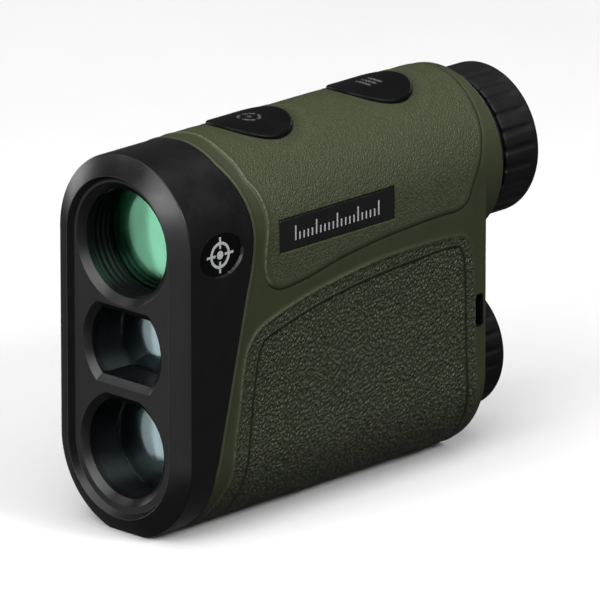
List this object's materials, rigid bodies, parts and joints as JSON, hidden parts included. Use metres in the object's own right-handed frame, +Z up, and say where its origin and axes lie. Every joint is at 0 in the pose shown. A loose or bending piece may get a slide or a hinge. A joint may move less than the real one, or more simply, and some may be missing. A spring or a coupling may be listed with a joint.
{
  "type": "laser rangefinder",
  "caption": "Handheld monocular laser rangefinder with black front bezel, green rubber armour, top buttons, ribbed eyepiece and ribbed battery cap.",
  "frame": {"origin": "centre of the bounding box in plan, on the ground under the flat foot", "axes": "-Y is the viewing and laser direction (objective and windows), +Y is the eyepiece, +Z is up, +X is the user's left side, the side with the lanyard slot"},
  "size_m": [0.0358, 0.102, 0.0763],
  "materials": {
    "armour_rubber": "fine leather grain and coarse pebble grain",
    "bezel_plastic": "satin moulded",
    "badge_plastic": "gloss with raised grey emblem",
    "nameplate_plastic": "satin",
    "chassis_plastic": "moulded, inside",
    "button_rubber": "satin, moulded",
    "keypad_rubber": "silicone",
    "seal_rubber": "matte",
    "screw_steel": "zinc plated",
    "spring_steel": "drawn wire",
    "switch_steel": "bright",
    "contact_nickel": "nickel plated",
    "can_brass": "gold plated",
    "barrel_aluminium": "black anodised",
    "stop_metal": "black anodised",
    "lens_glass": "polished",
    "green_coated_glass": "green anti-reflection coating",
    "blue_coated_glass": "blue-grey coating",
    "eye_glass": "violet coating",
    "prism_glass": "polished",
    "filter_glass": "dark red filter",
    "display_glass": "liquid crystal plate",
    "eyepiece_plastic": "satin",
    "eyecup_rubber": "matte",
    "cap_plastic": "satin",
    "battery_wrap": "printed film, plain",
    "circuit_board": "solder mask",
    "chip_plastic": "moulded",
    "flex_film": "polyimide"
  },
  "bodies": {
    "housing": {"armour": "armour_rubber", "front_bezel": "bezel_plastic", "bezel_gasket": "seal_rubber", "left_badge": "badge_plastic", "right_badge": "badge_plastic", "left_nameplate": "nameplate_plastic", "right_nameplate": "nameplate_plastic", "left_housing": "chassis_plastic", "right_housing": "chassis_plastic", "housing_screws": "screw_steel", "bezel_screws": "screw_steel", "objective_barrel": "barrel_aluminium", "objective_retainer": "barrel_aluminium", "objective_crown_lens": "green_coated_glass", "objective_flint_lens": "lens_glass", "optics_bench": "chassis_plastic", "emitter_barrel": "barrel_aluminium", "receiver_barrel": "barrel_aluminium", "emitter_lens": "blue_coated_glass", "receiver_lens": "blue_coated_glass", "laser_diode": "can_brass", "detector": "can_brass", "receiver_filter": "filter_glass", "laser_board": "circuit_board", "detector_board": "circuit_board", "roof_prism": "prism_glass", "half_prism": "prism_glass", "prism_holder": "chassis_plastic", "display_plate": "display_glass", "field_stop": "stop_metal", "eyepiece_collar": "eyepiece_plastic", "diopter_washer": "seal_rubber", "battery_cell": "battery_wrap", "battery_contact": "contact_nickel", "battery_tube": "chassis_plastic", "button_mat": "keypad_rubber", "dome_switches": "switch_steel", "button_board": "circuit_board", "main_board": "circuit_board", "board_chips": "chip_plastic", "button_flex": "flex_film"},
    "front_button": {"front_button": "button_rubber"},
    "rear_button": {"rear_button": "button_rubber"},
    "diopter_ring": {"diopter_ring": "eyepiece_plastic", "eyecup": "eyecup_rubber"},
    "ocular": {"ocular_cell": "barrel_aluminium", "field_lens": "lens_glass", "eye_lens": "eye_glass", "ocular_spacer": "barrel_aluminium", "ocular_retainer": "barrel_aluminium"},
    "contact_plate": {"cap_contact": "contact_nickel", "cap_spring": "spring_steel"},
    "battery_cap": {"battery_cap": "cap_plastic", "cap_seal": "seal_rubber"}
  },
  "joints": [
    {"name": "front_button_press", "type": "slide", "parent": "housing", "child": "front_button", "axis": [0, 0, -1], "range_m": [0, 0.0008], "stiffness_N_per_m": 2500, "springref_m": -0.0004},
    {"name": "rear_button_press", "type": "slide", "parent": "housing", "child": "rear_button", "axis": [0, 0, -1], "range_m": [0, 0.0008], "stiffness_N_per_m": 2500, "springref_m": -0.0004},
    {"name": "diopter_turn", "type": "hinge", "parent": "housing", "child": "diopter_ring", "pos_m": [0, 0.045, 0.0581], "axis": [0, 1, 0], "range_deg": [-150, 150]},
    {"name": "ocular_slide", "type": "slide", "parent": "housing", "child": "ocular", "axis": [0, 1, 0], "range_m": [-0.0012, 0.0012]},
    {"name": "contact_slide", "type": "slide", "parent": "housing", "child": "contact_plate", "axis": [0, 1, 0], "range_m": [0, 0.0045]},
    {"name": "battery_cap_turn", "type": "hinge", "parent": "contact_plate", "child": "battery_cap", "pos_m": [0, 0.037, 0.0175], "axis": [0, 1, 0], "range_deg": [0, 1080]}
  ],
  "couplings": [
    {"joint": "diopter_turn", "follows": "ocular_slide", "rad_per_m": 2181.7},
    {"joint": "battery_cap_turn", "follows": "contact_slide", "rad_per_m": 4188.8}
  ]
}
